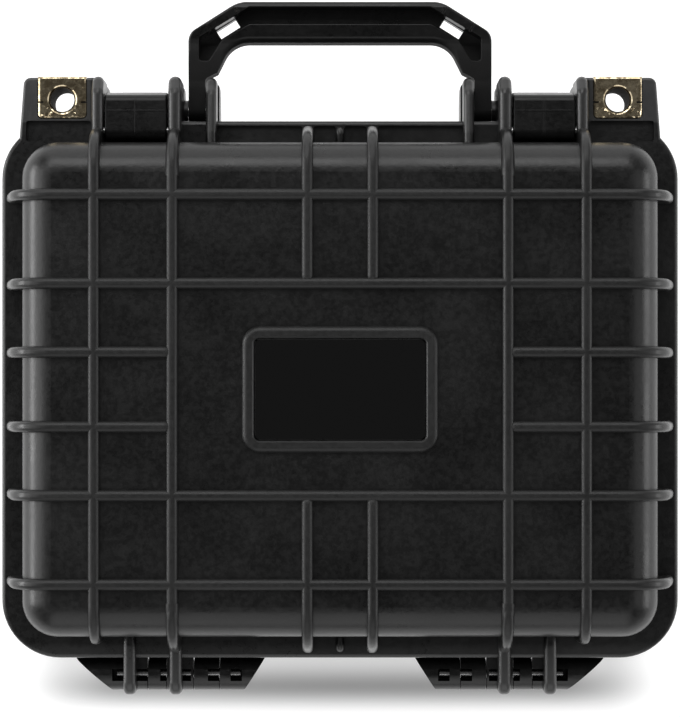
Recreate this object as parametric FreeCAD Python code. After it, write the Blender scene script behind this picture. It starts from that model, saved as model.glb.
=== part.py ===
"""Small waterproof hard case with a ribbed lid, two latches, a carrying handle and two rear hinges.

The case lies on its bottom with the lid up.  X runs along the width, the handle and the
latches are at -Y, the hinges at +Y, and the origin is the middle of the bottom face.
Sizes are millimetres.
"""

import FreeCAD
import Part
import math
import os

V = FreeCAD.Vector

# Driving dimensions of the two shells
case_width = 270.0
case_depth = 214.4
base_height = 83.0
lid_height = 41.0
flange_corner_r = 23.2
flange_overhang = 9.0
flange_height = 12.0
flange_edge_r = 1.6
front_pocket = 2.0
front_pocket_lip = 2.0
front_pocket_back = 0.6
front_pocket_r = 1.0
wall = 3.2
shell_corner_r = 15.0
dome_edge_r = 12.5
dome_draft = 1.2
base_edge_r = 9.0
base_draft = 3.2
base_rib_foot = 1.2
base_rib_low_r = 4.0
base_rib_shoulder = 6.0
bottom_pocket = 2.0
bottom_pocket_r = 1.4

# Ribs moulded on the outside
rib_width = 4.4
rib_height = 3.0
rib_round = 1.9
rib_end_gap = 2.3
rib_root = 1.0
stub_width = 3.4
latch_pitch = 30.6
middle_rib_x = 12.8
outer_rib_y = 76.2
mid_rib_y = 41.5
inner_rib_y = 14.6

# Front ears that guard the latches and carry the handle
ear_reach = 17.4
ear_width = 4.6
inner_ear_width = 5.2
handle_ear_width = 4.2
handle_lug_width = 5.4
handle_lug_round = 1.2
handle_lug_r = 10.0
ear_nose_r = 2.6
lid_ear_height = 22.0
base_ear_height = 22.0
handle_ear_rise = 4.0
ear_slope = 6.0
ear_drop = 5.0
ear_slope_r = 4.0
ear_blend_r = 3.2
ear_back_rise = 8.0
base_ear_inset = 1.0

# Seal between the shells
tongue_width = 2.4
tongue_height = 2.0
groove_width = 5.0
groove_depth = 4.8
seal_thickness = 2.4
seal_gap = 0.3

# Hinges: the lid has two knuckles in each, the base the rest of the barrel
hinge_reach = 7.4
hinge_out = 25.6
hinge_in = 27.0
hinge_splay = 15.2
hinge_inner_splay = 8.4
knuckle_r = 6.4
hinge_pin_r = 1.8
pin_slack = 0.05
pin_end_wall = 1.0
knuckle_gap = 0.4
outer_knuckle_offset = 11.8
outer_knuckle_width = 9.0
inner_knuckle_offset = 6.6
inner_knuckle_width = 10.4
barrel_split = 17.2
finger_width = 5.0
finger_nose = 0.9
finger_nose_r = 5.0
pin_window = 4.8
pin_window_width = 4.6
hinge_end_wall = 1.5

# Latches and their pins
latch_pin_inset = 4.6
latch_pin_rise = 17.0
latch_hub_r = 4.2
latch_pin_r = 1.5
latch_reach = 11.5
latch_drop = 22.0
latch_plate = 4.0
latch_lip = 4.0
latch_lip_inset = 4.2
latch_edge_r = 0.8
latch_side_gap = 0.5
latch_hood_gap = 0.8
latch_crown_inset = 2.0
latch_crown_drop = 1.0
latch_crown_r = 3.0
latch_shoulder = 6.0
latch_shoulder_r = 12.0
latch_flare = 7.0
latch_flare_r = 8.0
latch_tip = 1.0
latch_tip_r = 1.2
latch_inside_r = 3.0
hook_slack = 0.2
hook_r = 0.6
hook_foot = 6.5
hook_low = 8.0
hook_high = 11.5
hook_top = 14.0
hook_top_r = 1.5
latch_grip_inset = 4.5
latch_grip_depth = 1.2
latch_grip_r = 1.0
latch_grip_low = 16.0
latch_grip_rise = 2.0
catch_reach = 4.6
catch_height = 7.0
catch_side_gap = 0.4
catch_drop = 4.0
catch_foot = 3.0
catch_slope = 2.0
catch_slope_run = 1.5
catch_r = 1.0

# Carrying handle
handle_flange_gap = 0.6
handle_axis_drop = 9.5
handle_half_width = 61.3
handle_leg = 6.8
pivot_gap = 0.5
pivot_rise = 1.7
handle_reach = 43.8
handle_grip = 16.5
handle_thickness = 14.0
handle_hub_r = 5.2
handle_pin_r = 2.0
handle_rim = 2.3
handle_channel = 9.0
handle_band = 7.4
handle_edge_r = 1.0
handle_palm_r = 2.4
handle_tip_r = 1.2
handle_corner_r = 5.6
handle_slant = 20.2
handle_slant_drop = 12.8
handle_slant_r = 13.0
handle_throat = 11.0
handle_stop = 5.0
handle_stop_drop = 12.0
handle_stop_r = 1.6
handle_neck_start = 12.0
handle_neck_end = 24.0
handle_neck_r = 8.0
channel_edge_r = 0.5
channel_corner_r = 1.5
channel_bend_r = 3.0
channel_side = 4.3
channel_end = 23.8
channel_end_width = 4.0
channel_knee = 14.6
channel_slant = 24.5
window_length = 9.2
window_width = 3.8
window_start = 11.0

# Padlock corners
lock_offset = 14.7
lock_inset = 8.9
lock_bore_r = 4.8
tab_width = 27.7
tab_flare = 2.0
tab_corner_r = 3.0
tab_edge_r = 1.2
tab_pocket = 2.4
tab_lip = 0.9
guard_width = 19.4
guard_depth = 16.4
guard_sheet = 1.2
guard_proud = 0.3
guard_corner_r = 2.0
guard_edge_r = 0.35
guard_notch = 2.2
guard_notch_width = 0.7
guard_seam = 1.0
bore_bevel = 0.6
collar_wall = 0.9
part_gap = 0.3
overlap = 1.0

# Name plate and its moulded bezel
plate_width = 66.8
plate_depth = 39.6
plate_thickness = 1.6
plate_corner_r = 2.2
plate_drop = 0.4
plate_chamfer = 0.5
bezel_chamfer = 0.7
bezel_band = 4.9
bezel_height = 2.6

# Pressure valve on the front wall
valve_drop = 24.0
valve_flange_r = 9.5
valve_flange = 2.2
valve_seal_inset = 1.0
valve_end_wall = 3.0
spindle_depth = 6.0
valve_stem_r = 5.0
valve_knob_r = 7.6
valve_knob_length = 7.0
valve_nut_r = 8.0
valve_nut_length = 4.5
valve_pad = 1.5
valve_seal = 1.0
valve_spindle_r = 2.5
knob_flutes = 8
flute_r = 1.6

# Levels and half sizes that follow from the above
part_z = base_height
tab_height = flange_height
lid_flange_z = part_z + flange_height
base_flange_z = part_z - flange_height
lid_top_z = base_height + lid_height
dome_top_z = lid_top_z - rib_height
half_width = case_width / 2
half_depth = case_depth / 2
shell_half_width = half_width - flange_overhang
shell_half_depth = half_depth - flange_overhang
inner_rib_x = handle_half_width + pivot_rise + inner_ear_width / 2
outer_rib_x = inner_rib_x + latch_pitch
handle_ear_x = handle_half_width - handle_leg - pivot_gap - handle_lug_width / 2
lock_x = outer_rib_x + lock_offset
hinge_axis_y = half_depth + hinge_reach
hinge_out_x = inner_rib_x + hinge_out
hinge_in_x = inner_rib_x - hinge_in
outer_knuckle_x = inner_rib_x + outer_knuckle_offset
inner_knuckle_x = inner_rib_x - inner_knuckle_offset
barrel_split_x = inner_rib_x - barrel_split
ear_front_y = -half_depth - ear_reach
lock_y = ear_front_y + lock_inset
latch_pin_y = -shell_half_depth - latch_pin_inset
latch_front_y = -half_depth - latch_reach
outer_finger_x = outer_knuckle_x + outer_knuckle_width - finger_width / 2
handle_axis_y = -half_depth - handle_hub_r - handle_flange_gap


def on_xy(z):
    return lambda u, v: V(u, v, z)


def on_yz(x):
    return lambda u, v: V(x, u, v)


def on_xz(y):
    return lambda u, v: V(u, y, v)


def outline(corners, place):
    """Closed wire through (u, v, radius) corners, each rounded by a tangent arc of its radius."""
    count = len(corners)
    starts = []
    ends = []
    middles = []
    for i, (u, v, r) in enumerate(corners):
        before = corners[i - 1]
        after = corners[(i + 1) % count]
        a = V(before[0] - u, before[1] - v, 0).normalize()
        b = V(after[0] - u, after[1] - v, 0).normalize()
        corner = V(u, v, 0)
        half = math.acos(max(-1.0, min(1.0, a.dot(b)))) / 2
        if r <= 0:
            starts.append(corner)
            ends.append(corner)
            middles.append(None)
            continue
        run = r / math.tan(half)
        centre = corner + (a + b).normalize() * (r / math.sin(half))
        starts.append(corner + a * run)
        ends.append(corner + b * run)
        middles.append(centre + (corner - centre).normalize() * r)
    edges = []
    for i in range(count):
        p, q, m = starts[i], ends[i], middles[i]
        if m is not None:
            edges.append(Part.Arc(place(p.x, p.y), place(m.x, m.y), place(q.x, q.y)).toShape())
        n = starts[(i + 1) % count]
        if (n - q).Length > 1e-6:
            edges.append(Part.LineSegment(place(q.x, q.y), place(n.x, n.y)).toShape())
    return Part.Wire(edges)


def rectangle(half_x, half_y, r, cx=0.0, cy=0.0):
    """Corners of a rounded rectangle, counter-clockwise."""
    return [
        (cx + half_x, cy + half_y, r),
        (cx - half_x, cy + half_y, r),
        (cx - half_x, cy - half_y, r),
        (cx + half_x, cy - half_y, r),
    ]


def prism(corners, place, run):
    return Part.Face(outline(corners, place)).extrude(run)


def slab(half_x, half_y, r, z_low, z_high, cx=0.0, cy=0.0):
    """Upright prism with a rounded rectangle for its plan."""
    return prism(rectangle(half_x, half_y, r, cx, cy), on_xy(z_low), V(0, 0, z_high - z_low))


def tapered(half_x, half_y, r, z_low, inset, z_high):
    """Drafted prism: the plan at z_high is smaller by inset on every side."""
    low = outline(rectangle(half_x, half_y, r), on_xy(z_low))
    high = outline(rectangle(half_x - inset, half_y - inset, r - inset), on_xy(z_high))
    return Part.makeLoft([low, high], True, True)


def rod(r, start, direction, length):
    return Part.makeCylinder(r, length, start, direction)


def edges_at(shape, test):
    """Edges whose every sampled point passes the test."""
    found = []
    for edge in shape.Edges:
        points = edge.discretize(5)
        if all(test(p) for p in points):
            found.append(edge)
    return found


def rounded_at(shape, z, r):
    """Fillets the edges that lie at height z."""
    return shape.makeFillet(r, edges_at(shape, lambda p: abs(p.z - z) < 1e-4))


def both_sides(shape):
    """The shape and its mirror image across the middle of the case."""
    return [shape, shape.mirror(V(0, 0, 0), V(1, 0, 0))]


def sided(shape, side):
    """The shape on the +X side, or its mirror image on the -X side."""
    return shape if side > 0 else shape.mirror(V(0, 0, 0), V(1, 0, 0))


def rib(corners, across, centre, width, buried, rounding=rib_round):
    """Flat rib with a rounded back: a profile in the plane across X or Y, thickened about centre.

    buried tells which edges are inside the shell and keep their square corners.
    """
    place = on_yz(centre - width / 2) if across == "x" else on_xz(centre - width / 2)
    run = V(width, 0, 0) if across == "x" else V(0, width, 0)
    plain = prism(corners, place, run)

    def on_side(p):
        c = p.x if across == "x" else p.y
        return abs(abs(c - centre) - width / 2) < 1e-4

    edges = edges_at(plain, lambda p: on_side(p) and not buried(p))
    return plain.makeFillet(min(rounding, 0.48 * width), edges)


def lid_rib(across, centre, reach_low, reach_high, start, end):
    """Rib that climbs the dome, crosses its top and comes down again, from start to end."""
    foot = lid_flange_z - 1.0
    toe = lid_flange_z + rib_height
    top = lid_top_z
    crown = dome_edge_r + rib_height
    half = shell_half_depth if across == "x" else shell_half_width
    shoulder = half + rib_height - dome_draft
    corners = []
    if end is None:
        corners += [(reach_high, foot, 0), (reach_high, toe, rib_height), (shoulder, top, crown)]
    else:
        corners += [(end, foot, 0), (end, top, rib_height)]
    if start is None:
        corners += [(-shoulder, top, crown), (-reach_low, toe, rib_height), (-reach_low, foot, 0)]
    else:
        corners += [(start, top, rib_height), (start, foot, 0)]
    return rib(corners, across, centre, rib_width, lambda p: abs(p.z - foot) < 1e-4)


def lid_ribs():
    side_reach = half_width - rib_end_gap
    end_reach = half_depth - rib_end_gap
    ribs = []
    for y in (outer_rib_y, mid_rib_y):
        for sign in (1, -1):
            ribs.append(lid_rib("y", sign * y, side_reach, side_reach, None, None))
    for sign in (1, -1):
        crossing = lid_rib("y", sign * inner_rib_y, side_reach, side_reach, inner_rib_x, None)
        ribs += both_sides(crossing)
        ribs.append(lid_rib("x", sign * outer_rib_x, end_reach, end_reach - 4.0, None, None))
        ribs.append(lid_rib("x", sign * inner_rib_x, end_reach, end_reach, None, None))
        ribs.append(lid_rib("x", sign * middle_rib_x, end_reach, end_reach, mid_rib_y, None))
        ribs.append(lid_rib("x", sign * middle_rib_x, end_reach, end_reach, None, -mid_rib_y))
    return ribs


def flange_stubs():
    """Short ribs in the middle of the front and the back, on the flange only."""
    foot = lid_flange_z - rib_root
    toe = lid_flange_z + rib_height
    inner = shell_half_depth - rib_height
    reach = half_depth - rib_end_gap
    back = [(reach, foot, 0), (reach, toe, rib_height), (inner, toe, 0), (inner, foot, 0)]
    front = [(-u, v, r) for u, v, r in reversed(back)]

    def buried(p):
        return p.z < foot + 1e-3 or abs(p.y) < inner + 1e-3

    return [rib(corners, "x", 0.0, stub_width, buried) for corners in (back, front)]


def crown_corners(sign):
    """Corners of a rib's curve over the edge of the dome, from the flat top to its side."""
    shoulder = sign * (shell_half_depth + rib_height - dome_draft)
    crown = dome_edge_r + rib_height
    inside = shoulder - sign * (crown + rib_root)
    return [(inside, part_z, 0), (inside, lid_top_z, 0), (shoulder, lid_top_z, crown)]


def ear(centre, width, top, low, back, front):
    """Upright front ear from low to top: the corners behind it, then its sloping nose."""
    corners = back + [
        (front + ear_slope, top, ear_slope_r),
        (front, top - ear_drop, ear_slope_r),
        (front, low, 0),
    ]
    inside = back[0][0]
    return rib(corners, "x", centre, width, lambda p: p.z < low + 1e-3 or p.y > inside - 1e-3, ear_nose_r)


def lid_ears():
    """Ears in one piece with the ribs above them, and the lower pair beside the handle."""
    top = part_z + lid_ear_height
    crown = crown_corners(-1)
    back = crown + [(crown[-1][0], top, ear_blend_r)]
    ears = both_sides(ear(outer_rib_x, ear_width, top, part_z, back, ear_front_y))
    ears += both_sides(ear(inner_rib_x, inner_ear_width, top, part_z, back, ear_front_y))
    inside = -shell_half_depth + wall
    low_top = lid_flange_z + handle_ear_rise
    low_back = [(inside, part_z, 0), (inside, low_top + wall, 0)]
    ears += both_sides(ear(handle_ear_x, handle_ear_width, low_top, part_z, low_back, ear_front_y))
    return ears


def flipped(shape, z):
    """Mirror image below the plane at height z."""
    return shape.mirror(V(0, 0, z), V(0, 0, 1))


def handle_lug():
    """Lug under the base flange that carries one handle pin on its inner side."""
    back = -shell_half_depth + wall
    front = handle_axis_y - handle_lug_r
    low = handle_z() - handle_lug_r
    top = part_z - part_gap
    corners = [
        (back, top, 0),
        (front, top, 0),
        (front, low, handle_lug_r * 0.9),
        (handle_axis_y + handle_lug_r / 2, low, handle_lug_r * 0.4),
        (back, low - handle_lug_r / 2, 0),
    ]

    def buried(p):
        return p.z > top - 1e-3 or p.y > back - 1e-3

    return rib(corners, "x", handle_ear_x, handle_lug_width, buried, handle_lug_round)


def base_ears():
    low = part_z + part_gap
    top = part_z + base_ear_height
    inside = -shell_half_depth + wall
    back = [(inside, low, 0), (inside, top + ear_back_rise, 0)]
    front = ear_front_y + base_ear_inset
    ears = both_sides(ear(outer_rib_x, ear_width, top, low, back, front))
    ears += both_sides(ear(inner_rib_x, inner_ear_width, top, low, back, front))
    return [flipped(e, part_z) for e in ears] + both_sides(handle_lug())


def padlock_tab(low, top):
    """Block at the front corner, level with the flange, that carries a padlock guard."""
    inner = outer_rib_x
    outer = outer_rib_x + ear_width / 2 + tab_width
    corners = [
        (inner, -shell_half_depth, 0),
        (inner, ear_front_y, 0),
        (outer, ear_front_y, tab_corner_r),
        (outer + tab_flare, -shell_half_depth, 0),
    ]
    block = prism(corners, on_xy(low), V(0, 0, top - low))

    def outside(p):
        return p.y < -shell_half_depth - 1e-3 and p.x > inner + 1e-3

    edges = edges_at(block, lambda p: abs(p.z - top) < 1e-4 and p.y < -shell_half_depth + 1e-3)
    return block.makeFillet(tab_edge_r, [e for e in edges if outside(e.CenterOfMass)])


def tab_pockets():
    """Shallow pocket in the lid between each padlock guard and the dome."""
    front = ear_front_y + guard_depth + tab_lip
    back = -shell_half_depth - tab_lip
    inner = outer_rib_x + ear_width / 2 + tab_lip
    outer = outer_rib_x + ear_width / 2 + tab_width - tab_lip
    corners = [
        (outer, back, tab_lip),
        (inner, back, tab_lip),
        (inner, front, tab_lip),
        (outer, front, tab_lip),
    ]
    pocket = prism(corners, on_xy(lid_flange_z - tab_pocket), V(0, 0, 2 * tab_pocket))
    return both_sides(pocket)


def guard(low, top):
    """Folded sheet cap for a padlock tab: face plate, front fold and the collar that lines the hole."""
    half = guard_width / 2
    front = ear_front_y - guard_proud
    back = ear_front_y + guard_depth
    face = [
        (lock_x + half, front, 0),
        (lock_x + half, back, guard_corner_r),
        (lock_x - half, back, guard_corner_r),
        (lock_x - half, front, 0),
    ]
    plate = prism(face, on_xy(top - guard_sheet), V(0, 0, guard_sheet))
    fold = Part.makeBox(guard_width, guard_sheet, top - low, V(lock_x - half, front, low))
    collar = rod(lock_bore_r + collar_wall, V(lock_x, lock_y, low), V(0, 0, 1), top - low)
    body = plate.fuse([fold, collar]).removeSplitter()
    rim = edges_at(body, lambda p: abs(p.z - top) < 1e-4)
    body = body.makeFillet(guard_edge_r, rim)
    notches = []
    for side in (1, -1):
        inner = lock_x + side * (half - guard_notch / 2)
        start = V(inner - guard_notch, lock_y + guard_seam - guard_notch_width / 2, top - 2 * guard_sheet)
        shift = V(side * guard_notch / 2, 0, 0)
        notches.append(Part.makeBox(2 * guard_notch, guard_notch_width, 3 * guard_sheet, start + shift))
    bevel_r = lock_bore_r + bore_bevel
    bevel = Part.makeCone(lock_bore_r, bevel_r, bore_bevel, V(lock_x, lock_y, top - bore_bevel), V(0, 0, 1))
    return body.cut(lock_bore().fuse(notches + [bevel]))


def guard_seat(low, top):
    """Room for a guard in its tab: the face recess, the front recess and a slot for the collar."""
    gap = part_gap / 2
    half = guard_width / 2 + gap
    back = ear_front_y + guard_depth + gap
    before = ear_front_y - 1.0
    face = [
        (lock_x + half, before, 0),
        (lock_x + half, back, guard_corner_r),
        (lock_x - half, back, guard_corner_r),
        (lock_x - half, before, 0),
    ]
    recess = prism(face, on_xy(top - guard_sheet), V(0, 0, tab_height))
    fold_back = ear_front_y - guard_proud + guard_sheet + gap
    tall = top - low + 2 * overlap
    fold = Part.makeBox(2 * half, fold_back - before, tall, V(lock_x - half, before, low - overlap))
    slot_r = lock_bore_r + collar_wall + gap
    slot = [
        (lock_x + slot_r, before, 0),
        (lock_x + slot_r, lock_y + slot_r, slot_r * 0.99),
        (lock_x - slot_r, lock_y + slot_r, slot_r * 0.99),
        (lock_x - slot_r, before, 0),
    ]
    return recess.fuse([fold, prism(slot, on_xy(low - overlap), V(0, 0, tall))])


def lock_bore():
    return rod(lock_bore_r, V(lock_x, lock_y, 0), V(0, 0, 1), lid_top_z)


def lid_knuckle(start, width):
    """Lid knuckle: a barrel round the hinge axis with a root on the edge of the flange."""
    low = hinge_axis_y - knuckle_r
    high = hinge_axis_y + knuckle_r
    root = half_depth - flange_edge_r
    round_r = knuckle_r * 0.98
    corners = [
        (high, part_z - knuckle_r, round_r),
        (high, part_z + knuckle_r, round_r),
        (root, part_z + knuckle_r, 0),
        (root, part_z, 0),
        (low, part_z, 0),
        (low, part_z - knuckle_r, round_r),
    ]
    return prism(corners, on_yz(start), V(width, 0, 0))


def finger(x, root):
    """Rib from the dome over a lid knuckle to a rounded nose; root holds the corners on the dome."""
    top = lid_flange_z + rib_height
    nose = hinge_axis_y + knuckle_r + finger_nose
    tip = [
        (hinge_axis_y, part_z, 0),
        (hinge_axis_y, part_z - knuckle_r / 2, 0),
        (nose, part_z - knuckle_r / 2, knuckle_r / 2),
        (nose, top, finger_nose_r),
    ]
    corners = root + list(reversed(tip))
    inside = root[0][0]
    return rib(corners, "x", x, finger_width, lambda p: p.y < inside + 1e-3 or p.z < part_z + 1e-3)


def lid_knuckles():
    outer = lid_knuckle(outer_knuckle_x, outer_knuckle_width)
    inner = lid_knuckle(inner_knuckle_x, inner_knuckle_width)
    outer = outer.cut(pin_window_at(outer_knuckle_x))
    inner_window = inner_rib_x - finger_width / 2 - inner_knuckle_x - hinge_end_wall / 2
    inner = inner.cut(pin_window_at(inner_knuckle_x + hinge_end_wall / 2, inner_window))
    toe = lid_flange_z + rib_height
    foot = shell_half_depth - rib_height
    crown = crown_corners(1)
    outer_finger = finger(outer_finger_x, [(foot, part_z, 0), (foot, toe, 0)])
    inner_finger = finger(inner_rib_x, crown + [(crown[-1][0], toe, ear_blend_r)])
    pieces = []
    for piece in (outer, inner, outer_finger, inner_finger):
        pieces += both_sides(piece)
    return pieces


def pin_window_at(x, width=pin_window_width):
    """Slot over the hinge pin, open to the top."""
    start = V(x, hinge_axis_y - pin_window / 2, part_z - hinge_pin_r)
    return Part.makeBox(width, pin_window, lid_height, start)


def hinge_block():
    """Base half of a hinge: a tapering bracket under the flange with a barrel round the pin."""
    rear = hinge_axis_y + knuckle_r
    root = half_depth - wall
    edge = half_depth + flange_edge_r / 2
    low = base_flange_z + flange_edge_r
    plan = [
        (hinge_out_x + hinge_splay, root, 0),
        (hinge_out_x + hinge_splay, edge, flange_edge_r / 2),
        (hinge_out_x, rear, flange_edge_r),
        (hinge_in_x, rear, flange_edge_r),
        (hinge_in_x - hinge_inner_splay, edge, flange_edge_r / 2),
        (hinge_in_x - hinge_inner_splay, root, 0),
    ]
    bracket = prism(plan, on_xy(low), V(0, 0, part_z - low + knuckle_r))
    side = [
        (root, part_z - part_gap, 0),
        (root, low, 0),
        (half_depth + flange_edge_r, low, flange_edge_r),
        (rear, part_z - knuckle_r, knuckle_r / 2),
        (rear, part_z + knuckle_r, knuckle_r * 0.98),
        (hinge_axis_y - knuckle_r, part_z + knuckle_r, knuckle_r * 0.98),
        (hinge_axis_y - knuckle_r, part_z - part_gap, 0),
    ]
    profile = prism(side, on_yz(0), V(half_width, 0, 0))
    block = bracket.common(profile)
    slots = (
        (outer_knuckle_x - knuckle_gap, outer_knuckle_width + 2 * knuckle_gap),
        (inner_knuckle_x - knuckle_gap, inner_knuckle_width + 2 * knuckle_gap),
        (barrel_split_x - knuckle_gap / 2, knuckle_gap),
    )
    cuts = []
    for x, width in slots:
        start = V(x, half_depth + part_gap, base_flange_z)
        run = rear + finger_nose - start.y
        cuts.append(Part.makeBox(width, run, lid_height, start))
    cuts.append(pin_window_at(outer_knuckle_x + outer_knuckle_width + knuckle_gap))
    cuts.append(pin_window_at(inner_knuckle_x + inner_knuckle_width, pin_window_width * 0.6))
    cuts.append(pin_window_at(barrel_split_x))
    cuts.append(pin_window_at(hinge_in_x + hinge_end_wall / 2))
    return block.cut(cuts[0].fuse(cuts[1:]))


def hinge_pin():
    start = hinge_in_x + hinge_end_wall
    length = hinge_out_x - hinge_in_x - 2 * hinge_end_wall
    return rod(hinge_pin_r, V(start, hinge_axis_y, part_z), V(1, 0, 0), length)


def groove_path(half_gap, z_low, z_high):
    """Ring of the given half width that follows the middle of the sealing flange."""
    inset = flange_overhang / 2 + wall / 2
    half_x = half_width - inset
    half_y = half_depth - inset
    r = flange_corner_r - inset
    outer = slab(half_x + half_gap, half_y + half_gap, r + half_gap, z_low, z_high)
    inner = slab(half_x - half_gap, half_y - half_gap, r - half_gap, z_low, z_high)
    return outer.cut(inner)


def flange(z_low, z_high):
    return slab(half_width, half_depth, flange_corner_r, z_low, z_high)


def front_pockets():
    """Shallow moulded pockets in the lid flange between the handle ears."""
    front = -half_depth + front_pocket_lip
    back = -shell_half_depth - front_pocket_back
    inner = (stub_width / 2, middle_rib_x - rib_width / 2)
    outer = (middle_rib_x + rib_width / 2, handle_ear_x - handle_ear_width / 2)
    floor = lid_flange_z - front_pocket
    mouth = lid_flange_z + overlap
    cuts = []
    for a, b in (inner, outer):
        middle_x = (a + b) / 2
        middle_y = (front + back) / 2
        half_x = (b - a) / 2
        half_y = (back - front) / 2
        cuts += both_sides(slab(half_x, half_y, front_pocket_r, floor, mouth, middle_x, middle_y))
    return cuts


def bezel():
    half_x = plate_width / 2 + bezel_band
    half_y = plate_depth / 2 + bezel_band
    top = dome_top_z + bezel_height
    block = slab(half_x, half_y, bezel_band + plate_corner_r, dome_top_z - overlap, top)
    return rounded_at(block, top, bezel_height * 0.8)


def plate_low():
    return dome_top_z + bezel_height - plate_thickness - plate_drop


def plate_recess():
    """Room for the name plate, with a bevelled mouth in the bezel."""
    half_x = plate_width / 2 + part_gap / 2
    half_y = plate_depth / 2 + part_gap / 2
    mouth = dome_top_z + bezel_height
    seat = slab(half_x, half_y, plate_corner_r, plate_low(), mouth + overlap)
    return seat.fuse(tapered(half_x, half_y, plate_corner_r, mouth - bezel_chamfer, -bezel_chamfer, mouth))


def name_plate():
    top = plate_low() + plate_thickness
    plate = slab(plate_width / 2, plate_depth / 2, plate_corner_r, plate_low(), top)
    return plate.makeChamfer(plate_chamfer, edges_at(plate, lambda p: abs(p.z - top) < 1e-4))


def lid_shell():
    foot = lid_flange_z - overlap
    dome = tapered(shell_half_width, shell_half_depth, shell_corner_r, foot, dome_draft, dome_top_z)
    dome = rounded_at(dome, dome_top_z, dome_edge_r)
    rim = rounded_at(flange(part_z, lid_flange_z), lid_flange_z, flange_edge_r)
    pockets = front_pockets()
    rim = rim.cut(pockets[0].fuse(pockets[1:]))
    body = rim.fuse([dome, bezel()]).fuse(lid_ribs() + flange_stubs())
    body = body.fuse(lid_ears() + lid_knuckles())
    body = body.fuse(both_sides(padlock_tab(part_z, part_z + tab_height)))
    mouth = part_z - overlap
    ceiling = dome_top_z - wall
    room = (shell_half_width - wall, shell_half_depth - wall, shell_corner_r - wall)
    hollow = rounded_at(tapered(*room, mouth, dome_draft, ceiling), ceiling, dome_edge_r - wall)
    hinge_bore = rod(hinge_pin_r + pin_slack, V(0, hinge_axis_y, part_z), V(1, 0, 0), half_width)
    cuts = [hollow, groove_path(groove_width / 2, mouth, part_z + groove_depth), plate_recess()]
    cuts += tab_pockets()
    for side in (1, -1):
        cuts.append(sided(guard_seat(part_z, part_z + tab_height), side))
        cuts.append(sided(hinge_bore, side))
        cuts.append(sided(latch_pin(), side))
    body = body.cut(cuts[0].fuse(cuts[1:]))
    return body.removeSplitter()


def latch_axis():
    return latch_pin_y, part_z + latch_pin_rise


def latch_middle():
    return (outer_rib_x - ear_width / 2 + inner_rib_x + inner_ear_width / 2) / 2


def latch_span():
    return outer_rib_x - ear_width / 2 - inner_rib_x - inner_ear_width / 2


def latch_pin():
    y, z = latch_axis()
    length = latch_span() + ear_width + inner_ear_width - 2 * pin_end_wall
    return rod(latch_pin_r, V(inner_rib_x - inner_ear_width / 2 + pin_end_wall, y, z), V(1, 0, 0), length)


def latch():
    """Latch lever: hub on the pin, hood over the flange, front plate, hook lip and pull lip."""
    y, z = latch_axis()
    width = latch_span() - 2 * latch_side_gap
    left = latch_middle() - width / 2
    top = z + latch_hub_r
    low = part_z - latch_drop
    inside = latch_front_y + latch_plate
    catch_face = -half_depth - catch_reach
    hood = lid_flange_z + latch_hood_gap
    hook = catch_face - part_gap - hook_slack
    corners = [
        (y + latch_hub_r, top, latch_hub_r * 0.95),
        (latch_front_y + latch_crown_inset, top - latch_crown_drop, latch_crown_r),
        (latch_front_y, z - latch_shoulder, latch_shoulder_r),
        (latch_front_y, low + latch_flare, latch_flare_r),
        (latch_front_y - latch_lip, low, latch_tip_r),
        (latch_front_y - latch_tip, low, latch_tip_r),
        (inside, low + hook_foot, latch_inside_r),
        (hook, low + hook_low, hook_r),
        (hook, low + hook_high, hook_r),
        (inside, low + hook_top, hook_top_r),
        (inside, hood, latch_inside_r),
        (y + latch_hub_r, hood, latch_hub_r * 0.95),
    ]
    body = prism(corners, on_yz(left), V(width, 0, 0))
    side = edges_at(body, lambda p: abs(p.x - left) < 1e-4 or abs(p.x - left - width) < 1e-4)
    skin = inside - latch_plate / 3

    def outside(edge):
        return all(p.y < skin or p.z > top - latch_crown_drop / 2 for p in edge.discretize(5))

    body = body.makeFillet(latch_edge_r, [edge for edge in side if outside(edge)])
    ledge = latch_front_y - 2 * latch_lip
    for x in (left - overlap, left + width - latch_lip_inset):
        start = V(x, ledge, low - overlap)
        body = body.cut(Part.makeBox(latch_lip_inset + overlap, 2 * latch_lip, latch_drop, start))
    grip_low = low + latch_grip_low
    grip_high = part_z + latch_grip_rise
    half_grip = width / 2 - latch_grip_inset
    middle = latch_middle()
    grip = slab(half_grip, latch_grip_depth, latch_grip_r, grip_low, grip_high, middle, latch_front_y)
    bore = rod(latch_pin_r + pin_slack, V(left - overlap, y, z), V(1, 0, 0), width + 2 * overlap)
    return body.cut(grip.fuse(bore))


def catches():
    """Rail on the base flange that each latch closes over."""
    width = latch_span() - 2 * catch_side_gap
    top = part_z - catch_drop
    low = top - catch_height
    root = -half_depth + overlap
    face = -half_depth - catch_reach
    corners = [
        (root, low - catch_foot, 0),
        (root, top, 0),
        (face + catch_slope_run, top, catch_r),
        (face, top - catch_slope, catch_r),
        (face, low, catch_r),
    ]
    rail = prism(corners, on_yz(latch_middle() - width / 2), V(width, 0, 0))
    return both_sides(rail)


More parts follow.
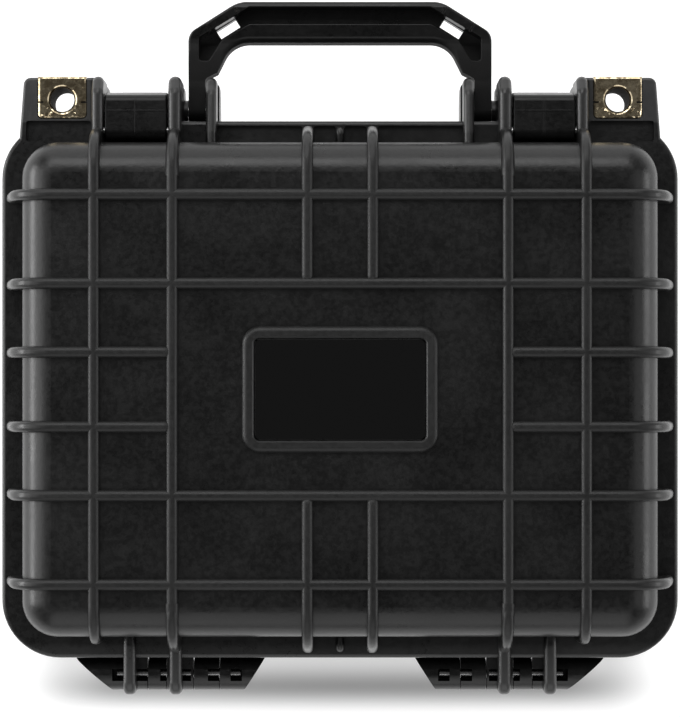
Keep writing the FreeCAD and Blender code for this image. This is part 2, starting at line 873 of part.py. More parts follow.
def base_ribs():
    """Upright ribs on the four walls of the base."""
    ribs = []
    top = base_flange_z + overlap

    def profile(half, reach):
        low = half - base_draft
        return [
            (low - wall / 2, base_edge_r * 0.4, 0),
            (low + rib_height * 0.6, base_edge_r * 0.8, base_rib_low_r),
            (reach, base_flange_z - base_rib_shoulder, base_rib_shoulder),
            (reach, top, 0),
            (low - wall / 2, top, 0),
        ]

    side = profile(shell_half_width, half_width - rib_end_gap)
    back = profile(shell_half_depth, half_depth - rib_end_gap)
    for y in (outer_rib_y, mid_rib_y, inner_rib_y):
        for sign in (1, -1):
            ribs += both_sides(rib(side, "y", sign * y, rib_width, base_buried(side)))
    for x in (outer_rib_x, inner_rib_x, middle_rib_x):
        ribs += both_sides(rib(back, "x", x, rib_width, base_buried(back)))
    front = [(-u, v, r) for u, v, r in reversed(back)]
    for x in (outer_rib_x, inner_rib_x):
        ribs += both_sides(rib(front, "x", x, rib_width, base_buried(front)))
    return ribs


def base_buried(corners):
    """Test for the two edges of a base rib that lie inside the wall and under the flange."""
    inner = min(abs(u) for u, v, r in corners)
    top = max(v for u, v, r in corners)

    def test(p):
        along = abs(p.x) if abs(abs(p.x) - inner) < 1e-3 else abs(p.y)
        return abs(p.z - top) < 1e-3 or abs(along - inner) < 1e-3

    return test


def pocket_spans(ribs, limit):
    """Stretches between ribs at plus and minus these places that leave room for a pocket."""
    edge = rib_width / 2 + base_rib_foot
    places = sorted(sign * place for place in ribs if place < limit for sign in (-1, 1))
    starts = [-limit] + [place + edge for place in places]
    ends = [place - edge for place in places] + [limit]
    least = 3 * bottom_pocket_r
    return [(start, end) for start, end in zip(starts, ends) if end - start > least]


def bottom_pockets():
    """Shallow pockets round the flat middle panel, which leave a grid of ribs under the case."""
    margin = base_draft + base_edge_r + base_rib_foot
    spans_x = pocket_spans((inner_rib_x, outer_rib_x), shell_half_width - margin)
    spans_y = pocket_spans((mid_rib_y, outer_rib_y), shell_half_depth - margin)
    cuts = []
    for x0, x1 in spans_x:
        for y0, y1 in spans_y:
            middle = x0 < 0 < x1 and y0 < 0 < y1
            if not middle:
                pocket = slab((x1 - x0) / 2, (y1 - y0) / 2, bottom_pocket_r, -bottom_pocket,
                              bottom_pocket, (x0 + x1) / 2, (y0 + y1) / 2)
                cuts.append(pocket)
    return cuts


def tub_block(inset, floor, top, edge_r):
    """Block that widens upwards by the base's draft, set in from its outside by inset."""
    half_x = shell_half_width - inset
    half_y = shell_half_depth - inset
    r = shell_corner_r - inset
    low = outline(rectangle(half_x - base_draft, half_y - base_draft, r - base_draft), on_xy(floor))
    high = outline(rectangle(half_x, half_y, r), on_xy(top))
    return rounded_at(Part.makeLoft([low, high], True, True), floor, edge_r)


def base_shell():
    tub = tub_block(0.0, 0.0, base_flange_z + overlap, base_edge_r)
    rim = rounded_at(flange(base_flange_z, part_z), base_flange_z, flange_edge_r)
    tongue = groove_path(tongue_width / 2, part_z - overlap, part_z + tongue_height)
    tabs = both_sides(flipped(padlock_tab(part_z + part_gap, part_z + tab_height), part_z))
    body = rim.fuse([tub, tongue, valve_seat()]).fuse(base_ribs())
    body = body.fuse(base_ears() + tabs + catches())
    body = body.fuse(both_sides(hinge_block()) + both_sides(pivot_boss()))
    floor = wall + bottom_pocket
    hollow = tub_block(wall, floor, part_z + overlap, base_edge_r - wall)
    cuts = [hollow] + bottom_pockets()
    for side in (1, -1):
        cuts.append(sided(flipped(guard_seat(part_z, part_z + tab_height), part_z), side))
        cuts.append(sided(hinge_pin(), side))
        cuts.append(sided(handle_pin(), side))
    cuts.append(valve_hole())
    body = body.cut(cuts[0].fuse(cuts[1:]))
    return body.removeSplitter()


def gasket():
    half = groove_width / 2 - seal_gap
    low = part_z + groove_depth - seal_thickness
    ring = groove_path(half, low, part_z + groove_depth)
    edges = edges_at(ring, lambda p: abs(p.z - low) < 1e-4)
    return ring.makeFillet(seal_thickness * 0.4, edges)


def handle_z():
    return part_z - handle_axis_drop


def handle_pin():
    start = handle_ear_x - handle_lug_width / 2 + pin_end_wall
    end = inner_rib_x + inner_ear_width / 2 - pin_end_wall
    return rod(handle_pin_r, V(start, handle_axis_y, handle_z()), V(1, 0, 0), end - start)


def pivot_boss():
    """Raised ring on the inner latch ear of the base that spaces the handle leg."""
    start = handle_half_width + part_gap
    length = inner_rib_x - start
    return rod(handle_hub_r - 0.8, V(start, handle_axis_y, handle_z()), V(1, 0, 0), length)


def mirrored(corners):
    """The corners followed by their mirror images, so that they run on across the middle."""
    return corners + [(-u, v, r) for u, v, r in reversed(corners)]


def handle_plan(tip):
    """Handle seen from above, at its full thickness and with its edges rounded for the hand."""
    grip = tip + handle_grip
    leg_out = handle_half_width
    leg_in = handle_half_width - handle_leg
    end = handle_axis_y + handle_hub_r
    outer = [
        (leg_in, end, 0),
        (leg_out, end, 0),
        (leg_out, tip + handle_slant_drop, handle_corner_r),
        (leg_out - handle_slant, tip, handle_slant_r),
    ]
    inner = [
        (-leg_in, grip + handle_stop_drop + handle_stop / 2, handle_stop_r),
        (-leg_in + handle_stop, grip + handle_stop_drop, 0),
        (-leg_in + handle_throat, grip, handle_throat),
    ]
    low = handle_z() - handle_thickness / 2
    high = handle_z() + handle_thickness / 2
    block = prism(mirrored(outer) + mirrored(inner), on_xy(low), V(0, 0, handle_thickness))
    palm_end = grip + handle_stop_drop + 1e-3
    palm_side = leg_in - handle_stop + 1e-3

    def flat(p):
        return min(abs(p.z - low), abs(p.z - high)) < 1e-4

    def palm(p):
        return flat(p) and grip - 1e-3 < p.y < palm_end and abs(p.x) < palm_side

    def back(p):
        return flat(p) and (p.y < grip - handle_palm_r - 1e-3 or abs(p.x) > leg_out - 1e-3)

    block = block.makeFillet(handle_palm_r, edges_at(block, palm)).Solids[0]
    return block.makeFillet(handle_edge_r, edges_at(block, back))


def handle_side(tip):
    """Handle seen from the end: thin legs that swell to the thickness of the grip."""
    end = handle_axis_y + handle_hub_r
    z = handle_z()
    thin = handle_hub_r
    thick = handle_thickness / 2
    upper = [
        (end, z + thin, thin * 0.98),
        (handle_axis_y - handle_neck_start, z + thin, handle_neck_r),
        (handle_axis_y - handle_neck_end, z + thick, handle_neck_r),
        (tip, z + thick, handle_tip_r),
    ]
    lower = [(u, 2 * z - v, r) for u, v, r in reversed(upper)]
    return prism(upper + lower, on_yz(-half_width), V(case_width, 0, 0))


def handle_channel_cut(tip):
    """Hollow in the outer face of the grip, which runs round both shoulders."""
    leg_out = handle_half_width
    rim_y = tip + handle_rim
    band_y = tip + handle_grip - handle_band
    outer = [
        (leg_out - channel_side, tip + channel_end, channel_corner_r),
        (leg_out - channel_side, tip + channel_knee, channel_corner_r),
        (leg_out - channel_slant, rim_y, channel_bend_r),
    ]
    inner = [
        (-leg_out + channel_side + channel_end_width, tip + channel_end, channel_corner_r),
        (-leg_out + channel_slant - window_start, tip + channel_knee + overlap, channel_bend_r),
        (-leg_out + channel_slant, band_y, channel_bend_r),
    ]
    floor = handle_z() + handle_thickness / 2 - handle_channel
    return prism(mirrored(outer) + mirrored(inner), on_xy(floor), V(0, 0, handle_thickness))


def handle_window(tip):
    """Through hole in the bottom of the channel, along the slanted shoulder."""
    along = V(-handle_slant, -handle_slant_drop, 0).normalize()
    inward = V(along.y, -along.x, 0)
    first = V(handle_half_width - window_start, tip + window_start, handle_z() - handle_thickness)
    second = first + along * window_length
    points = [first, second, second + inward * window_width, first + inward * window_width, first]
    return Part.Face(Part.makePolygon(points)).extrude(V(0, 0, 2 * handle_thickness))


def handle():
    """Moulded handle: two legs on pins, slanted shoulders and a hollow-backed grip."""
    tip = handle_axis_y - handle_reach
    body = handle_plan(tip).common(handle_side(tip))
    channel = handle_channel_cut(tip)
    high = handle_z() + handle_thickness / 2
    body = body.cut(channel).Solids[0]

    def mouth(p):
        return abs(p.z - high) < 1e-4 and channel.distToShape(Part.Vertex(p))[0] < 1e-4

    body = body.makeFillet(channel_edge_r, edges_at(body, mouth))
    windows = both_sides(handle_window(tip))
    body = body.cut(windows[0].fuse(windows[1:]))
    start = V(handle_half_width - handle_leg - overlap, handle_axis_y, handle_z())
    bores = both_sides(rod(handle_pin_r + pin_slack, start, V(1, 0, 0), handle_leg + 2 * overlap))
    return body.cut(bores[0].fuse(bores[1:])).removeSplitter()


def valve_z():
    return part_z - valve_drop


def valve_face_y():
    """Outside of the front wall at the height of the valve."""
    share = 1 - valve_z() / base_flange_z
    return -shell_half_depth + base_draft * share


def valve_outer_y():
    """Flat face of the moulded seat that the valve is screwed against."""
    return valve_face_y() - valve_pad


def valve_inner_y():
    """Flat face of the seat inside the case, where the nut bears."""
    return valve_face_y() + wall + valve_pad


def valve_seat():
    length = valve_inner_y() - valve_outer_y()
    return rod(valve_flange_r + 1.5, V(0, valve_outer_y(), valve_z()), V(0, 1, 0), length)


def valve_hole():
    length = valve_inner_y() - valve_outer_y()
    return rod(valve_stem_r, V(0, valve_outer_y(), valve_z()), V(0, 1, 0), length)


def valve_disc_y():
    """Outer face of the valve's flange."""
    return valve_outer_y() - valve_seal - valve_flange


def valve_body():
    start = V(0, valve_disc_y(), valve_z())
    disc = rod(valve_flange_r, start, V(0, 1, 0), valve_flange)
    disc = disc.makeFillet(0.8, edges_at(disc, lambda p: abs(p.y - start.y) < 1e-4))
    length = valve_inner_y() + valve_nut_length - start.y
    stem = rod(valve_stem_r, start, V(0, 1, 0), length)
    return disc.fuse(stem).cut(rod(valve_spindle_r + pin_slack, start, V(0, 1, 0), length - valve_end_wall))


def valve_seal_ring():
    start = V(0, valve_outer_y() - valve_seal, valve_z())
    outer = rod(valve_flange_r - valve_seal_inset, start, V(0, 1, 0), valve_seal)
    return outer.cut(rod(valve_stem_r, start, V(0, 1, 0), valve_seal))


def valve_nut():
    corners = []
    for i in range(6):
        angle = math.pi * i / 3
        corners.append((valve_nut_r * math.cos(angle), valve_z() + valve_nut_r * math.sin(angle), 0))
    nut = prism(corners, on_xz(valve_inner_y()), V(0, valve_nut_length, 0))
    return nut.cut(rod(valve_stem_r, V(0, valve_inner_y(), valve_z()), V(0, 1, 0), valve_nut_length))


def valve_knob():
    """Turning knob with finger flutes and a spindle that closes the vent."""
    back = valve_disc_y() - part_gap
    front = V(0, back - valve_knob_length, valve_z())
    head = rod(valve_knob_r, front, V(0, 1, 0), valve_knob_length)
    head = head.makeFillet(1.2, edges_at(head, lambda p: abs(p.y - front.y) < 1e-4))
    flutes = []
    for i in range(knob_flutes):
        angle = 2 * math.pi * i / knob_flutes
        reach = valve_knob_r + flute_r * 0.55
        centre = V(reach * math.cos(angle), front.y - overlap, valve_z() + reach * math.sin(angle))
        flutes.append(rod(flute_r, centre, V(0, 1, 0), valve_knob_length + 2 * overlap))
    spindle = rod(valve_spindle_r, V(0, back - overlap, valve_z()), V(0, 1, 0), valve_flange + spindle_depth)
    return head.cut(flutes[0].fuse(flutes[1:])).fuse(spindle).removeSplitter()


def make_parts():
    parts = {
        "base_shell": base_shell(),
        "lid_shell": lid_shell(),
        "lid_gasket": gasket(),
        "handle": handle(),
        "name_plate": name_plate(),
        "valve_body": valve_body(),
        "valve_seal": valve_seal_ring(),
        "valve_nut": valve_nut(),
        "valve_knob": valve_knob(),
    }
    lid_guard = guard(part_z, part_z + tab_height)
    base_guard = flipped(guard(part_z + part_gap, part_z + tab_height), part_z)
    for name, side in (("left", 1), ("right", -1)):
        parts["latch_" + name] = sided(latch(), side)
        parts["latch_pin_" + name] = sided(latch_pin(), side)
        parts["hinge_pin_" + name] = sided(hinge_pin(), side)
        parts["handle_pin_" + name] = sided(handle_pin(), side)
        parts["lid_padlock_guard_" + name] = sided(lid_guard, side)
        parts["base_padlock_guard_" + name] = sided(base_guard, side)
    return parts


os.makedirs("parts", exist_ok=True)
for node, shape in make_parts().items():
    shape.exportStep("parts/" + node + ".step")
    print(node, len(shape.Solids), round(shape.Volume / 1000, 2), shape.isValid())
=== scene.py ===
"""Looks of a small waterproof hard case: moulded shells, latches, handle, metal guards and pins.

Lengths are in metres.  The case lies on its bottom, with the handle at -Y and the hinges at +Y.
"""

import math

import bpy
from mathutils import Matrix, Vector


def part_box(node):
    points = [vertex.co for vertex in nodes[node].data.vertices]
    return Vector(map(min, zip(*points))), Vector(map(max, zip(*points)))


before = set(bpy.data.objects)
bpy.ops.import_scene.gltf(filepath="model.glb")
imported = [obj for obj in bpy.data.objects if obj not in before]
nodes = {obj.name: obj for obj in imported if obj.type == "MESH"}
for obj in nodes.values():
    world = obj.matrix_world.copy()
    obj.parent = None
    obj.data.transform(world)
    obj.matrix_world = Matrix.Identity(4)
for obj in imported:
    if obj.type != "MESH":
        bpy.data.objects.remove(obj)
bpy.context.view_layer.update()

# Base shell.
# The deep tub of the case, injection moulded in black polypropylene with a fine spark-eroded
# grain.  Its flange, ears, catch rails and hinge brackets are one piece with it, and the lid
# has the same finish.


class Wire:
    """A socket of a finish's node tree, on which Python arithmetic adds Math nodes."""

    def __init__(self, tree, socket):
        self.tree = tree
        self.socket = socket

    def node(self, kind, settings, inputs, output=0):
        """Adds a node, applies its settings, then feeds its sockets, and returns one output."""
        made = self.tree.nodes.new(kind)
        for name, value in settings.items():
            setattr(made, name, value)
        for name, value in inputs.items():
            if isinstance(value, Wire):
                self.tree.links.new(value.socket, made.inputs[name])
            else:
                made.inputs[name].default_value = value
        return Wire(self.tree, made.outputs[output])

    def maths(self, operation, first, second):
        """A Math node on two values."""
        return self.node("ShaderNodeMath", {"operation": operation}, {0: first, 1: second})

    def __add__(self, other):
        return self.maths("ADD", self, other)

    def __radd__(self, other):
        return self.maths("ADD", other, self)

    def __sub__(self, other):
        return self.maths("SUBTRACT", self, other)

    def __rsub__(self, other):
        return self.maths("SUBTRACT", other, self)

    def __mul__(self, other):
        return self.maths("MULTIPLY", self, other)

    def __rmul__(self, other):
        return self.maths("MULTIPLY", other, self)

    def part(self, axis):
        """One axis of this place, as X, Y or Z."""
        return self.node("ShaderNodeSeparateXYZ", {}, {0: self}, axis)

    def size(self):
        """This value without its sign."""
        return self.maths("ABSOLUTE", self, 0.0)

    def diagonal(self, other):
        """Length of the diagonal whose two sides are this value and the other."""
        return self.maths("POWER", self * self + other * other, 0.5)

    def held(self, low, high):
        """This value kept between low and high."""
        return self.maths("MINIMUM", self.maths("MAXIMUM", self, low), high)

    def ramp(self, start, end, low=0.0, high=1.0):
        """Smooth step from low to high while this value goes from start to end."""
        inputs = {"Value": self, "From Min": start, "From Max": end, "To Min": low, "To Max": high}
        return self.node("ShaderNodeMapRange", {"interpolation_type": "SMOOTHSTEP"}, inputs)

    def line(self, place, half_width):
        """One on a thin line where this value is at place, and nothing away from it."""
        return (self - place).size().ramp(half_width / 2, half_width, 1.0, 0.0)

    def noise(self, size, detail=2.0, rough=0.5):
        """Noise whose blotches are about size metres wide."""
        inputs = {"Vector": self, "Scale": 1.0 / size, "Detail": detail, "Roughness": rough}
        return self.node("ShaderNodeTexNoise", {}, inputs, "Fac")

    def between(self, low, high):
        """A colour between low and high, each three numbers or a wire, by this value."""
        inputs = {0: self}
        for socket, colour in ((6, low), (7, high)):
            inputs[socket] = colour if isinstance(colour, Wire) else (*colour, 1.0)
        return self.node("ShaderNodeMix", {"data_type": "RGBA", "clamp_factor": False}, inputs, 2)

    def bumped(self, depth=1.0):
        """Normal of a surface that this value, times depth in metres, raises."""
        return self.node("ShaderNodeBump", {}, {"Height": self, "Distance": depth, "Strength": 1.0})


def new_finish(name):
    """A new finish with its Principled shader and the wire of its object coordinates."""
    finish = bpy.data.materials.new(name)
    finish.use_nodes = True
    tree = finish.node_tree
    place = tree.nodes.new("ShaderNodeTexCoord")
    return finish, tree.nodes["Principled BSDF"], Wire(tree, place.outputs["Object"])


def feed(shader, inputs):
    """Links wires to the shader's sockets and sets its plain values."""
    for name, value in inputs.items():
        if isinstance(value, Wire):
            value.tree.links.new(value.socket, shader.inputs[name])
        else:
            shader.inputs[name].default_value = value


def shade(level):
    """A neutral grey of that linear level."""
    return (level, level, level)


def cover(node, finish):
    """Gives a node its finish."""
    slots = nodes[node].data.materials
    slots.clear()
    slots.append(finish)


flow_width = 0.030
flow_contrast = (0.32, 0.68)
flow_tone = 0.22
flow_dull = 0.08
speck_width = 0.0020
speck_contrast = (0.34, 0.66)
speck_tone = 0.48
speck_dull = 0.06
least_tone = 0.15
darkest_share = 0.2
palest_share = 1.8


def moulded(name, level, rough, grain, gloss=0.5, relief=None, paler=None, duller=None):
    """Moulded black plastic or rubber: flow mottling, specks, an uneven sheen and a raised grain.

    level is its grey, grain the width and depth of its texture, gloss its reflectance; relief,
    paler and duller are functions of the place that add to its height, tone and roughness.
    """
    finish, shader, place = new_finish(name)
    flow = place.noise(flow_width, detail=5.0, rough=0.62).ramp(*flow_contrast)
    speck = place.noise(speck_width, detail=3.0, rough=0.65).ramp(*speck_contrast)
    tone = flow * flow_tone + speck * speck_tone + least_tone
    grain_width, grain_depth = grain
    height = place.noise(grain_width, rough=0.6) * grain_depth
    roughness = flow * flow_dull + speck * speck_dull + (rough - (flow_dull + speck_dull) / 2)
    if relief:
        height = height + relief(place)
    if paler:
        tone = tone + paler(place)
    if duller:
        roughness = roughness + duller(place)
    feed(
        shader,
        {
            "Base Color": tone.between(shade(level * darkest_share), shade(level * palest_share)),
            "Roughness": roughness,
            "Normal": height.bumped(),
            "Specular IOR Level": gloss,
        },
    )
    return finish


# Painted light: these fades and weights lighten the tone of the tabs, rib ends and back flange.
tab_front_fade = (-0.1070, -0.1062)
tab_inner_fade = (0.0990, 0.1000)
tab_level_fade = (0.0940, 0.0948)
tab_painted_light = 3.9
rib_end_fade = (0.1015, 0.1030)
rib_end_level_fade = (0.0962, 0.0972)
rib_end_painted_light = 2.2
back_flange_fade = (0.1005, 0.1045)
back_level_fade = (0.0930, 0.0940)
back_flange_painted_light = 2.2


def painted_light_edges(place):
    """Painted light: a paler tone on the padlock tabs, the rib ends and the back flange, standing in
    for light falling on them.
    """
    x = place.part("X").size()
    y = place.part("Y")
    z = place.part("Z")
    tabs = y.ramp(*tab_front_fade, 1.0, 0.0) * x.ramp(*tab_inner_fade) * z.ramp(*tab_level_fade)
    rib_ends = y.size().ramp(*rib_end_fade) * z.ramp(*rib_end_level_fade)
    back_flange = y.ramp(*back_flange_fade) * z.ramp(*back_level_fade)
    return tabs * tab_painted_light + rib_ends * rib_end_painted_light + back_flange * back_flange_painted_light


rib_height = 0.0030
rib_dull_start = 0.0002
rib_dull_full = 0.0008
rib_dull = 0.16
panel_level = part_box("lid_shell")[1].z - rib_height


def scuffed_ribs(place):
    """Duller skin on the ribs of the lid, which take the scuffs."""
    start = panel_level + rib_dull_start
    full = panel_level + rib_dull_full
    return place.part("Z").ramp(start, full, 0.0, rib_dull)


shell_finish = moulded(
    "shell_grain",
    level=0.0055,
    rough=0.33,
    grain=(0.0016, 0.00006),
    paler=painted_light_edges,
    duller=scuffed_ribs,
)
cover("base_shell", shell_finish)

# Seal ring.
# A black rubber ring pressed into the groove of the lid, with a smaller one under the valve.

rubber_finish = moulded("seal_rubber", level=0.0120, rough=0.78, grain=(0.0003, 0.00001))
cover("lid_gasket", rubber_finish)
cover("valve_seal", rubber_finish)

# Lid shell.
# The ribbed cover, moulded in the same plastic and grain as the base and hung on the two
# hinge pins.

cover("lid_shell", shell_finish)

# Name plate.
# A thin gloss black plate glued into the moulded frame on the lid, with the bare metal of its
# cut edge showing all round.

plate_edge_width = 0.0004
plate_edge_fade = 0.0001
plate_black = shade(0.004)
plate_metal = shade(0.22)
plate_rough = 0.10
plate_speck_dull = 0.06
plate_edge_dull = 0.15
plate_wave_width = 0.006
plate_wave_depth = 0.000008
plate_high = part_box("name_plate")[1]
plate_inside_x = plate_high.x - plate_edge_width
plate_inside_y = plate_high.y - plate_edge_width
plate_finish, plate_shader, plate_place = new_finish("plate_gloss")
plate_wave = plate_place.noise(plate_wave_width, detail=1.0)
end_edges = plate_place.part("X").size().ramp(plate_inside_x, plate_inside_x + plate_edge_fade)
long_edges = plate_place.part("Y").size().ramp(plate_inside_y, plate_inside_y + plate_edge_fade)
bare_edge = (end_edges + long_edges).ramp(0.0, 1.0)
plate_specks = plate_place.noise(speck_width)
feed(
    plate_shader,
    {
        "Base Color": bare_edge.between(plate_black, plate_metal),
        "Roughness": plate_specks * plate_speck_dull + plate_rough + bare_edge * plate_edge_dull,
        "Metallic": bare_edge,
        "Normal": plate_wave.bumped(plate_wave_depth),
    },
)
cover("name_plate", plate_finish)

# Padlock guards.
# Folded sheet brass with bright plating, pressed into the corner tabs of lid and base.

lock_y = -0.1157
lock_bore = 0.0048
bore_fade = (0.00005, 0.0002)
# Painted shade: the wall of the padlock bore is coloured dark and dull, as the shade inside the
# bore.
bore_painted_shade = (0.035, 0.025, 0.014)
bore_dull = 0.7
collar_width = 0.0011
edge_roll = 0.0008
roll_slope = 0.45
fold_fade = (0.0002, 0.0010)
fold_stain_share = 0.3
stain_width = 0.0030
stain_contrast = (0.36, 0.64)
stain_middle = 0.4
stained_brass = (0.44, 0.35, 0.22)
bright_brass = (0.94, 0.80, 0.55)
dent_width = 0.0045
dent_depth = 0.00020
dent_fade = (0.002, 0.006)
front_dents = 1.2
back_dents = 4.2
plating_rough = 0.09
plating_speck_width = 0.0012
plating_speck_contrast = (0.56, 0.68)
plating_speck_dull = 0.18
guard_low, guard_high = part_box("lid_padlock_guard_left")
guard_middle_x = (guard_high.x + guard_low.x) / 2
guard_middle_y = (guard_high.y + guard_low.y) / 2
flat_half_x = (guard_high.x - guard_low.x) / 2 - edge_roll
flat_half_y = (guard_high.y - guard_low.y) / 2 - edge_roll
guard_finish, guard_shader, guard_place = new_finish("guard_plating")
guard_y = guard_place.part("Y")
from_middle_x = guard_place.part("X").size() - guard_middle_x
from_middle_y = guard_y - guard_middle_y
from_lock_y = guard_y - lock_y
from_lock = from_middle_x.diagonal(from_lock_y)
in_bore = from_lock.ramp(lock_bore + bore_fade[0], lock_bore + bore_fade[1], 1.0, 0.0)
rolled_ends = (from_middle_x.size() - flat_half_x).held(0.0, edge_roll)
rolled_fronts = (from_middle_y.size() - flat_half_y).held(0.0, edge_roll)
collar = (from_lock - (lock_bore + collar_width)).held(-collar_width, 0.0)
behind_fold = guard_y.ramp(
    guard_low.y + fold_fade[0], guard_low.y + fold_fade[1], fold_stain_share, 1.0
)
stain = guard_place.noise(stain_width, detail=4.0, rough=0.7).ramp(*stain_contrast)
brass_tone = (stain - stain_middle) * behind_fold + stain_middle
guard_colour = brass_tone.between(stained_brass, bright_brass)
guard_specks = guard_place.noise(plating_speck_width, detail=3.0, rough=0.7)
guard_specks = guard_specks.ramp(*plating_speck_contrast)
dents = guard_place.noise(dent_width) * dent_depth
dents = dents * from_lock_y.ramp(*dent_fade, front_dents, back_dents)
guard_height = dents + (collar - rolled_ends - rolled_fronts) * roll_slope
feed(
    guard_shader,
    {
        "Base Color": in_bore.between(guard_colour, bore_painted_shade),
        "Roughness": guard_specks * plating_speck_dull + plating_rough + in_bore * bore_dull,
        "Metallic": 1.0 - in_bore,
        "Normal": guard_height.bumped(),
    },
)
for side in ("left", "right"):
    cover("lid_padlock_guard_" + side, guard_finish)
    cover("base_padlock_guard_" + side, guard_finish)

# Pins.
# Ground steel wire in the hinges, latches and handle pivots.

pin_mark_width = 0.0008
pin_mark_dull = 0.12
pin_rough = 0.2
pin_dark = shade(0.50)
pin_bright = shade(0.66)
pin_finish, pin_shader, pin_place = new_finish("pin_steel")
pin_marks = pin_place.noise(pin_mark_width, detail=3.0)
feed(
    pin_shader,
    {
        "Base Color": pin_marks.between(pin_dark, pin_bright),
        "Roughness": pin_marks * pin_mark_dull + pin_rough,
        "Metallic": 1.0,
    },
)
for side in ("left", "right"):
    for pin in ("hinge_pin_", "latch_pin_", "handle_pin_"):
        cover(pin + side, pin_finish)

# Latches.
# Levers in a harder, blacker plastic that turn on pins in the lid ears and close over the base.

latch_low, latch_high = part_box("latch_left")
latch_middle = (latch_low.x + latch_high.x) / 2
latch_seam_y = -0.1105
seam_half_width = 0.0004
seam_down_height = 0.00005
seam_across_height = 0.00002


def latch_lines(place):
    """Faint mould lines down and across the middle of the lever."""
    down = place.part("X").size().line(latch_middle, seam_half_width)
    across = place.part("Y").line(latch_seam_y, seam_half_width)
    return down * seam_down_height + across * seam_across_height


latch_finish = moulded(
    "latch_black", level=0.0026, rough=0.33, grain=(0.0016, 0.00004), gloss=0.3, relief=latch_lines
)
for side in ("left", "right"):
    cover("latch_" + side, latch_finish)

# Handle.
# A moulded bail with a hollow back that turns on two short pins.

handle_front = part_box("handle")[0].y
shoulder_along = (0.845, 0.535)
shoulder_rim = 0.1503
shoulder_rim_fade = 0.0002
score_places = (-0.0470, -0.0462, -0.0338, -0.0330)
score_half_width = 0.0004
score_depth = 0.0004
rim_width = 0.0023
rim_reach = 0.004
band_setback = 0.0090
band_reach = 0.008
grip_crown = 0.22
palm_setback = 0.0146
palm_fade = 0.002
palm_dull = 0.35


def handle_relief(place):
    """Score lines across the rim of each slanted shoulder, and the crown of the grip."""
    x = place.part("X").size()
    y = place.part("Y")
    along = x * shoulder_along[0] + y * shoulder_along[1]
    out = x * shoulder_along[1] - y * shoulder_along[0]
    marks = sum(along.line(mark, score_half_width) for mark in score_places)
    on_rim = out.ramp(shoulder_rim, shoulder_rim + shoulder_rim_fade)
    rim = (y - (handle_front + rim_width)).held(-rim_reach, 0.0)
    band = (y - (handle_front + band_setback)).held(0.0, band_reach)
    return (rim - band) * grip_crown - marks * on_rim * score_depth


def handle_palm(place):
    """Duller skin on the inside of the grip, where the hand closes."""
    palm_start = handle_front + palm_setback
    return place.part("Y").ramp(palm_start, palm_start + palm_fade) * palm_dull


handle_finish = moulded(
    "handle_black",
    level=0.0022,
    rough=0.32,
    grain=(0.0016, 0.00004),
    gloss=0.35,
    relief=handle_relief,
    duller=handle_palm,
)
cover("handle", handle_finish)

# Pressure valve.
# A screwed vent in the front wall with a fluted knob and a nut inside.

valve_finish = moulded("valve_black", level=0.0045, rough=0.36, grain=(0.0016, 0.00003))
for piece in ("valve_body", "valve_nut", "valve_knob"):
    cover(piece, valve_finish)

# Floor.
# A plain white studio floor that takes the lamps' shadows, with a soft shadow of the case also
# painted into its glow round its foot and behind its hinges.


def seen_rays(place):
    """One for rays from the eye, straight or by way of gloss or glass, and nothing for others."""
    kinds = ("Is Camera Ray", "Is Glossy Ray", "Is Transmission Ray")
    return sum(place.node("ShaderNodeLightPath", {}, {}, kind) for kind in kinds)


floor_half = 30.0
floor_grey = 0.5
floor_rough = 0.9
floor_level = 0.88
foot_half_x = 0.114
foot_half_y = 0.086
foot_fade = 0.030
foot_dark = 0.8
back_stretch = 0.45
back_shadow_y = 0.128
back_shadow_rise = 0.0138
back_shadow_fall = 0.013
back_shadow_ends = (0.090, 0.150)
back_shadow_dark = 0.88
floor_mesh = bpy.data.meshes.new("floor")
corners = [
    (-floor_half, -floor_half, 0.0),
    (floor_half, -floor_half, 0.0),
    (floor_half, floor_half, 0.0),
    (-floor_half, floor_half, 0.0),
]
floor_mesh.from_pydata(corners, [], [(0, 1, 2, 3)])
floor = bpy.data.objects.new("floor", floor_mesh)
bpy.context.scene.collection.objects.link(floor)

floor_finish, floor_shader, floor_place = new_finish("floor_white")
floor_x = floor_place.part("X").size()
floor_y = floor_place.part("Y")
off_foot_x = (floor_x - foot_half_x).held(0.0, floor_half)
# A step away from the foot counts for less behind the case, so the painted shadow reaches further
# there.
off_foot_y = (floor_y.size() - foot_half_y).held(0.0, floor_half)
off_foot_y = off_foot_y * floor_y.ramp(0.0, foot_half_y, 1.0, back_stretch)
# Painted shadow: the glow is lowered round the foot of the case.
painted_foot_shadow = off_foot_x.diagonal(off_foot_y).ramp(0.0, foot_fade, foot_dark, 0.0)
# Painted shadow: a soft streak behind the hinges, fading out across the width.
painted_back_shadow = floor_y.ramp(back_shadow_y - back_shadow_rise, back_shadow_y)
painted_back_shadow = painted_back_shadow * floor_y.ramp(back_shadow_y, back_shadow_y + back_shadow_fall, 1.0, 0.0)
painted_back_shadow = painted_back_shadow * floor_x.ramp(*back_shadow_ends, back_shadow_dark, 0.0)
floor_glow = (1.0 - painted_foot_shadow) * (1.0 - painted_back_shadow) * floor_level * seen_rays(floor_place)
feed(
    floor_shader,
    {
        "Base Color": (*shade(floor_grey), 1.0),
        "Roughness": floor_rough,
        "Specular IOR Level": 0.0,
        "Emission Color": floor_glow.between(shade(0.0), shade(1.0)),
        "Emission Strength": 1.0,
    },
)
floor_mesh.materials.append(floor_finish)

# Studio light.
# Soft boxes at three heights on the left, two in front, two on the right and one at the hinge
# side, in a dim room whose backdrop turns pale towards the floor.

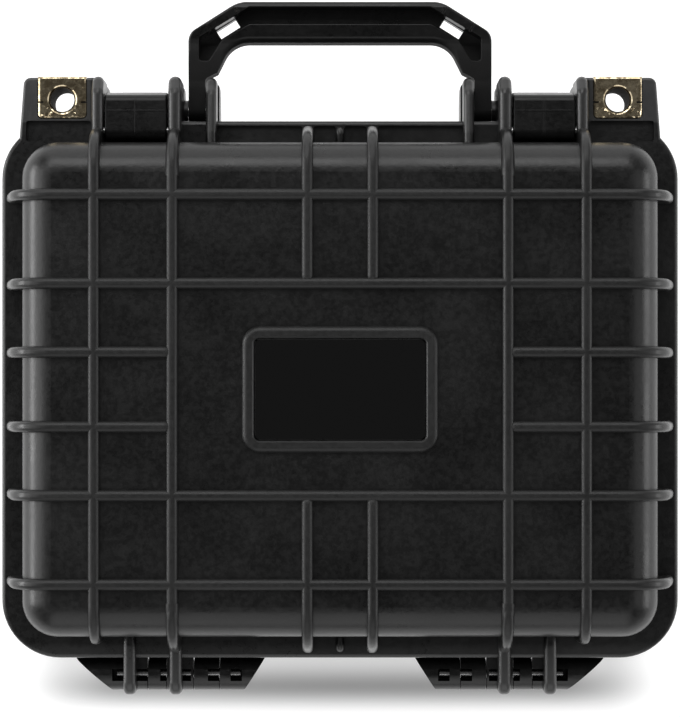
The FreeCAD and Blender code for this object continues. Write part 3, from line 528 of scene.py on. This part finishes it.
room_fade = (0.02, 0.80)
room_low_level = 0.50
room_high_level = 0.095
backdrop_fade = (0.06, 0.14)
aim_point = Vector((0.0, 0.0, 0.09))
world = bpy.data.worlds.new("room")
world.use_nodes = True
room_tree = world.node_tree
room_place = Wire(room_tree, room_tree.nodes.new("ShaderNodeTexCoord").outputs["Generated"])
room_z = room_place.part("Z")
backdrop = room_z.ramp(*backdrop_fade, 1.0, 0.0) * seen_rays(room_place)
room_level = room_z.ramp(*room_fade, room_low_level, room_high_level)
room_level = room_level + (floor_level - room_level) * backdrop
feed(
    room_tree.nodes["Background"],
    {"Color": room_level.between(shade(0.0), shade(1.0)), "Strength": 1.0},
)
bpy.context.scene.world = world


def soft_box(name, place, width, height, watts):
    """An area lamp aimed at the middle of the lid."""
    lamp = bpy.data.lights.new(name, "AREA")
    lamp.shape = "RECTANGLE"
    lamp.size = width
    lamp.size_y = height
    lamp.energy = watts
    box = bpy.data.objects.new(name, lamp)
    box.location = place
    box.rotation_euler = (aim_point - Vector(place)).to_track_quat("-Z", "Y").to_euler()
    bpy.context.scene.collection.objects.link(box)


soft_box("left_low_box", (1.25, -0.16, 0.31), width=0.9, height=0.32, watts=7.2)
soft_box("left_middle_box", (1.08, -0.14, 0.74), width=0.9, height=0.68, watts=3.9)
soft_box("left_high_box", (0.70, -0.12, 1.02), width=0.9, height=0.50, watts=1.1)
soft_box("front_high_box", (0.1, -1.04, 1.22), width=1.3, height=0.75, watts=9.0)
soft_box("front_low_box", (0.1, -1.25, 0.45), width=1.3, height=0.55, watts=2.2)
soft_box("right_low_box", (-1.25, 0.0, 0.40), width=0.8, height=0.5, watts=3.6)
soft_box("right_high_box", (-0.80, 0.0, 1.00), width=0.8, height=0.6, watts=1.0)
soft_box("back_box", (0.0, 1.00, 0.95), width=1.0, height=1.2, watts=3.8)

# Camera.
# Straight above the lid, with the handle at the top of the picture.

view_height = 1.20
picture_height = 0.2892
picture_shift = 0.0432
split_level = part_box("base_padlock_guard_left")[1].z
camera = bpy.data.cameras.new("camera")
camera.sensor_width = 36.0
camera.lens = camera.sensor_width * view_height / picture_height
camera.shift_y = picture_shift
eye = bpy.data.objects.new("camera", camera)
eye.location = (0.0, 0.0, split_level + view_height)
eye.rotation_euler = (0.0, 0.0, math.pi)
bpy.context.scene.collection.objects.link(eye)
bpy.context.scene.camera = eye
bpy.context.scene.view_settings.view_transform = "Standard"
